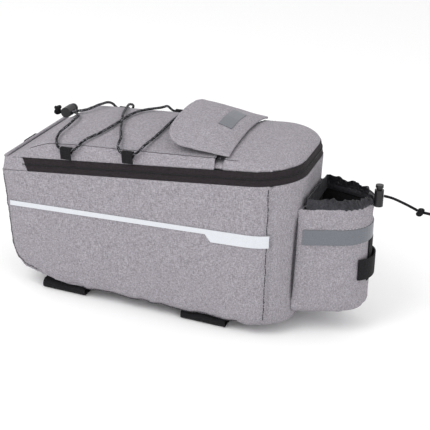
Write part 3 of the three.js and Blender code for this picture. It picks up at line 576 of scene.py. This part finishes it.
def flap_move(p, n):
    rim = flap_rim(p)
    move = 0.35 * bell(rim - 2, 1.8) + groove(rim - 5, 0.9, 0.35)
    return move + 0.5 * ripple(p, 30, 21) * clamp(rim / 20)


sculpt(flap, flap_move)

# %% [markdown]
# ## The bottle pouch
# The pouch is softer than the box. Its cloth creases across where it bends round the bottle, and it
# sags a little above its round bottom. The nylon collar is gathered by a draw cord, so its pleats
# deepen towards the hem.

# %% Pouch and collar
pouch = soft_copy("pouch_cloth", ["bottle_pouch"], 1.25, cloth, "cloth", smooth=3)
collar = soft_copy("collar_nylon", ["pouch_collar"], 0.6, nylon, "nylon", smooth=2)
POUCH_X = REAR + 29.6
BAND_Z = 102.0


def round_pouch(p):
    """The angle of a point about the pouch's axis, and the outward direction there."""
    angle = math.atan2(p.y, p.x - POUCH_X)
    return angle, Vector((math.cos(angle), math.sin(angle), 0))


def pouch_shift(p):
    angle, out = round_pouch(p)
    crease = math.sin(p.z * 0.19 + 1.5 * math.sin(angle * 2.0) + 5 * ripple(p, 45, 31))
    calm = 1 - bell(p.z - BAND_Z, 14)
    low = clamp((60 - p.z) / 60)
    free = clamp((p.x - REAR - 6) / 10)
    move = calm * (0.35 * crease + 0.8 * ripple(p, 24, 33) - 0.3)
    move += low * 0.9 * math.sin(angle * 9 + 3 * ripple(p, 20, 35))
    return out * (free * move)


def collar_shift(p):
    """Pleats that deepen towards the hem, which dips at the far rear where the cord pulls it."""
    angle, out = round_pouch(p)
    high = clamp((p.z - 133) / 14)
    free = clamp((p.x - REAR - 3) / 6)
    pleat = math.sin(angle * 19 + 5 * ripple(p, 12, 41)) + 0.6 * math.sin(angle * 31 + 2)
    dip = 0.5 + 0.5 * math.cos(angle - 0.7)
    drop = 1.1 * math.sin(angle * 11) - 4.5 * dip
    bulge = math.sin(math.pi * clamp((p.z - 131) / 18))
    wide = high * (1.7 * pleat + 1.6 * ripple(p, 9, 43)) + 2.6 * bulge
    return out * (free * wide) + Vector((0, 0, high * drop))


drape(pouch, pouch_shift)
drape(collar, collar_shift)


# %% [markdown]
# ## Painted shade inside
# Looking into the pouch or the pocket's mouth shows deep shade, which is painted here. Each patch of
# shade is a thin black skin that is grown from the inner faces of the dressed wall.

# %% Painted shade inside
def paint_inner_shade(name, source, keep):
    """A thin black skin of painted shade on the faces of source that keep(place, normal) picks."""
    bm = bmesh.new()
    bm.from_mesh(source.data)
    bm.normal_update()
    unlined = []
    for face in bm.faces:
        place, normal = world_to_level @ face.calc_center_median(), turn_to_level @ face.normal
        if not keep(place, normal):
            unlined.append(face)
    bmesh.ops.delete(bm, geom=unlined, context="FACES")
    for vert in bm.verts:
        vert.co += vert.normal * (0.25 * MM)
    bmesh.ops.solidify(bm, geom=bm.faces, thickness=0.2 * MM)
    mesh = bpy.data.meshes.new(name)
    bm.to_mesh(mesh)
    bm.free()
    smooth_shade(link_piece(name, mesh, inner_shade_finish))


def inside_pouch(p, n):
    _, out = round_pouch(p)
    return n.dot(out) < -0.35 or (n.z > 0.6 and p.z < 60)


def under_pocket(p, n):
    return n.z < -0.3 and p.x < MOUTH - 1.5


paint_inner_shade("pouch_inner_shade", pouch, inside_pouch)
paint_inner_shade("pocket_inner_shade", pocket, under_pocket)

# %% [markdown]
# ## Seams, piping and stitches
# A row of stitches is one mesh: a short rounded bar repeated along a line. Each line is a few level
# points, and a search tree finds where the cloth's skin really is, so the thread lies on it. The dark
# rows
# along the seams are painted shade: they stand for the shadow in the seam grooves.


# %% Helpers for lines on cloth
def tree_of(*pieces):
    bm = bmesh.new()
    for piece in pieces:
        bm.from_mesh(piece.data)
    tree = BVHTree.FromBMesh(bm)
    bm.free()
    return tree


def even_points(points, pitch):
    """Points every pitch millimetres along straight stretches between level points."""
    made = []
    for a, b in zip(points, points[1:]):
        count = max(int((b - a).length / pitch), 1)
        made += [a.lerp(b, i / count) for i in range(count)]
    return made + [points[-1]]


def lay_on(tree, points, lift):
    laid = []
    for point in points:
        place, normal, _, _ = tree.find_nearest(level_to_world @ point)
        laid.append((place + normal * (lift * MM), normal))
    return laid


def stitch_row(bm, tree, points, pitch=3.2, length=2.1, thick=0.55):
    """Adds stitches to bm along a line of level points."""
    laid = lay_on(tree, even_points(points, pitch), 0.1)
    for (a, normal), (b, _) in zip(laid, laid[1:]):
        along = (b - a).normalized()
        across = along.cross(normal).normalized()
        turn = Matrix((along, across, across.cross(along) * -1)).transposed().to_4x4()
        size = Matrix.Diagonal((length * MM, thick * MM, thick * MM, 1))
        made = bmesh.ops.create_icosphere(
            bm, subdivisions=1, radius=0.5, matrix=Matrix.Translation((a + b) / 2) @ turn @ size
        )
        bmesh.ops.recalc_face_normals(bm, faces=list({f for v in made["verts"] for f in v.link_faces}))


def stitches(name, rows, finish=thread_grey, slot="cloth", **sizes):
    bm = bmesh.new()
    for tree, points in rows:
        stitch_row(bm, tree, [Vector(p) for p in points], **sizes)
    mesh = bpy.data.meshes.new(name)
    bm.to_mesh(mesh)
    bm.free()
    piece = link_piece(name, mesh, finish)
    smooth_shade(piece)
    return piece


def tube(name, places, diameter, finish, slot, sides=10, closed=False, replaced=()):
    """A round tube through world places: a circle that is extruded and set across each step."""
    bm = bmesh.new()
    made = bmesh.ops.create_circle(bm, cap_ends=False, segments=sides, radius=diameter / 2 * MM)
    ring = made["verts"]
    shape = [v.co.copy() for v in ring]
    count = len(places)
    up = Vector((0, 0, 1))
    first_edges = list({e for v in ring for e in v.link_edges})
    edges = first_edges
    for i, place in enumerate(places):
        after = places[(i + 1) % count] if closed or i + 1 < count else place
        before = places[i - 1] if closed or i > 0 else place
        along = (after - before).normalized()
        side = up.cross(along)
        side = side.normalized() if side.length > 1e-3 else Vector((1, 0, 0))
        up = along.cross(side).normalized()
        turn = Matrix((side, up, along)).transposed()
        if i:
            grown = bmesh.ops.extrude_edge_only(bm, edges=edges)["geom"]
            ring = [g for g in grown if isinstance(g, bmesh.types.BMVert)]
            edges = [g for g in grown if isinstance(g, bmesh.types.BMEdge)]
        for vert, co in zip(ring, shape):
            vert.co = place + turn @ co
    if closed:
        bmesh.ops.bridge_loops(bm, edges=first_edges + edges)
    else:
        bmesh.ops.holes_fill(bm, edges=first_edges + edges, sides=sides)
    bmesh.ops.recalc_face_normals(bm, faces=bm.faces)
    mesh = bpy.data.meshes.new(name)
    bm.to_mesh(mesh)
    bm.free()
    piece = link_piece(name, mesh, finish, replaced)
    smooth_shade(piece)
    return piece


def smooth_path(points, steps):
    """A Catmull-Rom curve through points, with steps places between two of them."""
    ends = [points[0] * 2 - points[1]] + points + [points[-1] * 2 - points[-2]]
    made = []
    for a, b, c, d in zip(ends, ends[1:], ends[2:], ends[3:]):
        for i in range(steps):
            t = i / steps
            square = (2 * a - 5 * b + 4 * c - d) * t**2
            cube = (3 * b - a - 3 * c + d) * t**3
            made.append(0.5 * (2 * b + (c - a) * t + square + cube))
    return made + [points[-1]]


# %% Stitches on the box
body_tree = tree_of(body)


def upright_line(x, side):
    low, high = bottom_line(x) + 10, zip_line(x) - 3
    return [(x, side * HALF, low + (high - low) * i / 12) for i in range(13)]


def rim_line(drop, side):
    return [(x, side * HALF, zip_line(x) - drop) for x in range(-150, 121, 12)]


box_rows = []
for side in (-1, 1):
    for x in (REAR_SEAM - 4, REAR_SEAM + 4.5):
        box_rows.append((body_tree, upright_line(x, side)))
    box_rows.append((body_tree, rim_line(3.5, side)))
stitches("box_stitches", box_rows)


def front_line(side):
    return [(front_edge(z) + 1.5, side * HALF, z) for z in range(22, 148, 6)]


def bottom_edge(side):
    return [(x, side * (HALF - 1), bottom_line(x) + 1.5) for x in range(-84, 126, 10)]


# The dark rows along the rear seams, the front edges and the bottom edges are painted shade of the seam
# grooves.
seam_rows = []
for side in (-1, 1):
    lines = (upright_line(REAR_SEAM, side), front_line(side), bottom_edge(side))
    seam_rows += [(body_tree, line) for line in lines]
seam_shade_stitches = {"finish": seam_shade_finish, "pitch": 2.2, "length": 3.2}
stitches("box_seam_shade", seam_rows, thick=1.2, **seam_shade_stitches)

# %% Stitches on the lid, the pocket and the flap
lid_tree = tree_of(lid, pocket)
flap_tree = tree_of(flap)


def crown_line(side, y):
    front_part = [(-150, 178), (-124, 187), (-91, 191), (-57, 193)]
    rear_part = [(-20, 194), (30, 196), (80, 197), (110, 197)]
    return [(x, side * y, z) for x, z in front_part + rear_part]


lid_rows = [(lid_tree, crown_line(side, CROWN_SIDE - 3)) for side in (-1, 1)]
lid_rows += [(lid_tree, [(x, y, 205) for y in range(-78, 79, 6)]) for x in (MOUTH - 3, MOUTH - 6)]
stitches("lid_stitches", lid_rows)
# The dark rows on the crown seams are painted shade of the crown seam's groove.
crown_rows = [(lid_tree, crown_line(side, CROWN_SIDE)) for side in (-1, 1)]
stitches("lid_seam_shade", crown_rows, thick=0.8, **seam_shade_stitches)
stitches("flap_stitches", [(flap_tree, [(FOLD - 4, y, 210) for y in range(-76, 77, 6)])])

# %% The pouch band's stitches and the front edge's piping
band_tree = tree_of(pouch)


def band_line(z):
    angles = [math.radians(a) for a in range(-84, 85, 6)]
    return [(POUCH_X + 60 * math.cos(a), 60 * math.sin(a), z) for a in angles]


band_rows = [(band_tree, band_line(z)) for z in (91.6, 113.6)]
stitches("band_stitches", band_rows, finish=thread_light, pitch=3.2, length=2.2, thick=1.0)
piping_line = [world(FRONT + 6.6, y, 164.6) for y in range(-84, 85, 7)]
tube("front_piping", piping_line, 4.8, cloth, "cloth")

# %% [markdown]
# ## The draw cord's free end and the knots
# The pouch's cord leaves its lock to the rear, droops and ends in a knot with a short tip. It is the
# one free cord here, and the photograph shows it from end to end. The route repeats the solid's points.

# %% Cords
LOCK_X, LOCK_Y, LOCK_Z = 264.5, -5.0, 147.9
TAIL_DIAMETER = 3.2
tail_drops = [(0, 0), (10, 1.4), (22, 5.2), (33, 9.4), (40, 12.4)]
tail_route = [world(LOCK_X + out, LOCK_Y, LOCK_Z - drop) for out, drop in tail_drops]
tail_path = smooth_path(tail_route, 5)
replaced_tail = {"replaced": ["draw_cord_tail"]}
tail = tube("draw_cord_free_end", tail_path, TAIL_DIAMETER, plain_cord, "cord", **replaced_tail)
TREFOIL_REACH = 6.2  # across the trefoil below, before it is given its size


def overhand_knot(name, centre, axis, size, diameter, finish, replaced):
    """A trefoil of cord, which is what an overhand knot is when it is pulled tight."""
    turn = axis.normalized().to_track_quat("Z", "Y").to_matrix()
    places = []
    for i in range(60):
        a = 2 * math.pi * i / 60
        across = math.sin(a) + 2 * math.sin(2 * a)
        upward = math.cos(a) - 2 * math.cos(2 * a)
        loop = Vector((across, upward, -1.5 * math.sin(3 * a)))
        places.append(centre + turn @ (loop * (size / TREFOIL_REACH * MM)))
    return tube(name, places, diameter, finish, "cord", closed=True, replaced=replaced)


low, high = [Vector(corner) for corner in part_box("draw_cord_knot")]
tail_axis = (tail_route[-1] - tail_route[-2]).normalized()
ball = Vector((low.x + 0.0033, (low.y + high.y) / 2, (low.z + high.z) / 2))
knot_finish = (plain_cord, ["draw_cord_knot"])
tail_knot = overhand_knot("draw_cord_end_knot", ball, tail_axis, 8.4, 3.8, *knot_finish)
tip_places = [ball + Vector(step) * MM for step in ((2, 0, 0), (7, 0, 0), (12.2, 0, -0.3))]
tail_tip = tube("draw_cord_tip", tip_places, 3.4, plain_cord, "cord")

# %% [markdown]
# The lacing cord is held all the way, so its solid already has the right route. A copy is merged and
# subdivided, which rounds the eight flat sides, and it takes the braided finish.


# %% Rounded copies of cords
def rounded_copy(name, names, finish, levels=1):
    mesh = copy_solids(names)
    piece = link_piece(name, mesh, finish, names)
    bm = bmesh.new()
    bm.from_mesh(mesh)
    bmesh.ops.dissolve_limit(bm, angle_limit=0.02, verts=bm.verts, edges=bm.edges)
    bm.to_mesh(mesh)
    bm.free()
    soften = piece.modifiers.new("round", "SUBSURF")
    soften.levels = soften.render_levels = levels
    smooth_shade(piece)
    return piece


rounded_copy("lacing_cord_round", ["lacing_cord"], cord_braid, 2)
rounded_copy("draw_cord_round", ["draw_cord"], plain_cord)
for name in ("pouch_piping_near", "pouch_piping_far"):
    rounded_copy(name + "_round", [name], cloth_dark, 2)
low, high = [Vector(corner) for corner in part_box("lacing_cord_knot")]
lace_axis = Vector((1, 0.2, 0))
lace_finish = (plain_cord, ["lacing_cord_knot"])
overhand_knot("lacing_cord_end_knot", (low + high) / 2, lace_axis, 9.0, 4.4, *lace_finish)

# %% [markdown]
# ## The zip
# The zip is a coil under dark tape. From outside it shows as a fine double row between two tapes, so
# one thin ridge of short teeth runs along the middle of the tapes.


# %% Zip teeth
ZIP_START = 30.0  # from the front to the zip's end


def rim_places(lift, inset, pitch):
    """Level points round the rim, from the near front round the rear to the far front."""
    points = []
    half_width, radius = HALF - inset, REAR_RADIUS - inset
    x = FRONT + ZIP_START
    while x < REAR - inset - radius:
        points.append(Vector((x, -half_width, 0)))
        x += pitch
    steps = int(radius * math.pi / 2 / pitch)
    centre_x = REAR - inset - radius
    for corner, start in ((-1, -90), (1, 0)):
        for i in range(steps):
            angle = math.radians(start + 90 * i / steps)
            x = centre_x + radius * math.cos(angle)
            y = corner * (half_width - radius) + radius * math.sin(angle)
            points.append(Vector((x, y, 0)))
        if corner < 0:
            y = -(half_width - radius)
            while y < half_width - radius:
                points.append(Vector((REAR - inset, y, 0)))
                y += pitch
    x = centre_x
    while x > FRONT + ZIP_START:
        points.append(Vector((x, half_width, 0)))
        x -= pitch
    for point in points:
        point.z = zip_line(point.x) + lift
    return points


def make_teeth():
    bm = bmesh.new()
    places = [level_to_world @ p for p in rim_places(8, 2.3, 2.2)]
    for a, b in zip(places, places[1:]):
        along = (b - a).normalized()
        upright = turn_to_world @ Vector((0, 0, 1))
        out = along.cross(upright).normalized()
        turn = Matrix((along, out, out.cross(along) * -1)).transposed().to_4x4()
        size = Matrix.Diagonal((1.3 * MM, 1.0 * MM, 3.4 * MM, 1))
        made = bmesh.ops.create_icosphere(
            bm, subdivisions=1, radius=0.5, matrix=Matrix.Translation((a + b) / 2) @ turn @ size
        )
        bmesh.ops.recalc_face_normals(bm, faces=list({f for v in made["verts"] for f in v.link_faces}))
    mesh = bpy.data.meshes.new("zip_teeth")
    bm.to_mesh(mesh)
    bm.free()
    smooth_shade(link_piece("zip_teeth", mesh, plastic))


make_teeth()

# %% [markdown]
# ## The pieces that keep their solids
# Webbing, film and moulded plastic are already the right shape, so their solids stay and only take a
# finish.

# %% Finishes for the solids that stay
kept_finishes = {
    "zip_tape_lower": zip_tape,
    "zip_tape_upper": zip_tape,
    "zip_pull": webbing,
    "zip_slider": plastic,
    "front_loop": webbing,
    "strap_loop_front": webbing,
    "strap_loop_rear": webbing,
    "light_strip": webbing,
    "light_loop": webbing,
    "cord_loop_front_near": webbing,
    "cord_loop_rear_near": webbing,
    "cord_loop_front_far": webbing,
    "cord_loop_rear_far": webbing,
    "front_lock": plastic,
    "front_lock_button": plastic,
    "pouch_lock": plastic,
    "pouch_lock_button": plastic,
    "stripe_near": white_film,
    "stripe_far": white_film,
    "flap_patch": grey_film,
    "pouch_band": grey_film,
}
for name, finish in kept_finishes.items():
    mesh = nodes[name].data
    if not mesh.materials:
        mesh.materials.append(finish)
    for index in range(len(mesh.materials)):
        mesh.materials[index] = finish

# %% [markdown]
# ## Floor and light
# The photograph is a studio picture: white all round, with a broad soft light from above and in front,
# and hardly any shadow. A large pale floor, a bright even world and two wide area lights give that.

# %% Stage and lights
bm = bmesh.new()
bmesh.ops.create_grid(bm, x_segments=1, y_segments=1, size=4)
floor_mesh = bpy.data.meshes.new("floor")
bm.to_mesh(floor_mesh)
bm.free()
floor = bpy.data.objects.new("floor", floor_mesh)
bpy.context.collection.objects.link(floor)
floor_finish, _, floor_shader = new_finish("pale_floor", 0.9)
floor_shader.inputs["Base Color"].default_value = (0.95, 0.95, 0.95, 1)
floor_mesh.materials.append(floor_finish)

world_light = bpy.data.worlds.new("studio")
bpy.context.scene.world = world_light
world_light.use_nodes = True
background = world_light.node_tree.nodes["Background"]
background.inputs["Color"].default_value = (1, 1, 1, 1)
background.inputs["Strength"].default_value = 0.95


def area_light(name, place, target, size, power):
    data = bpy.data.lights.new(name, "AREA")
    data.shape = "DISK"
    data.size = size
    data.energy = power
    light = bpy.data.objects.new(name, data)
    bpy.context.collection.objects.link(light)
    way = Vector(target) - Vector(place)
    light.matrix_world = Matrix.Translation(place) @ way.to_track_quat("-Z", "Y").to_matrix().to_4x4()


area_light("key", (-0.7, -1.2, 1.5), (0, 0, 0.1), 1.2, 16)
area_light("fill", (1.3, -0.9, 0.8), (0, 0, 0.1), 1.2, 5)
bpy.context.scene.view_settings.view_transform = "Standard"
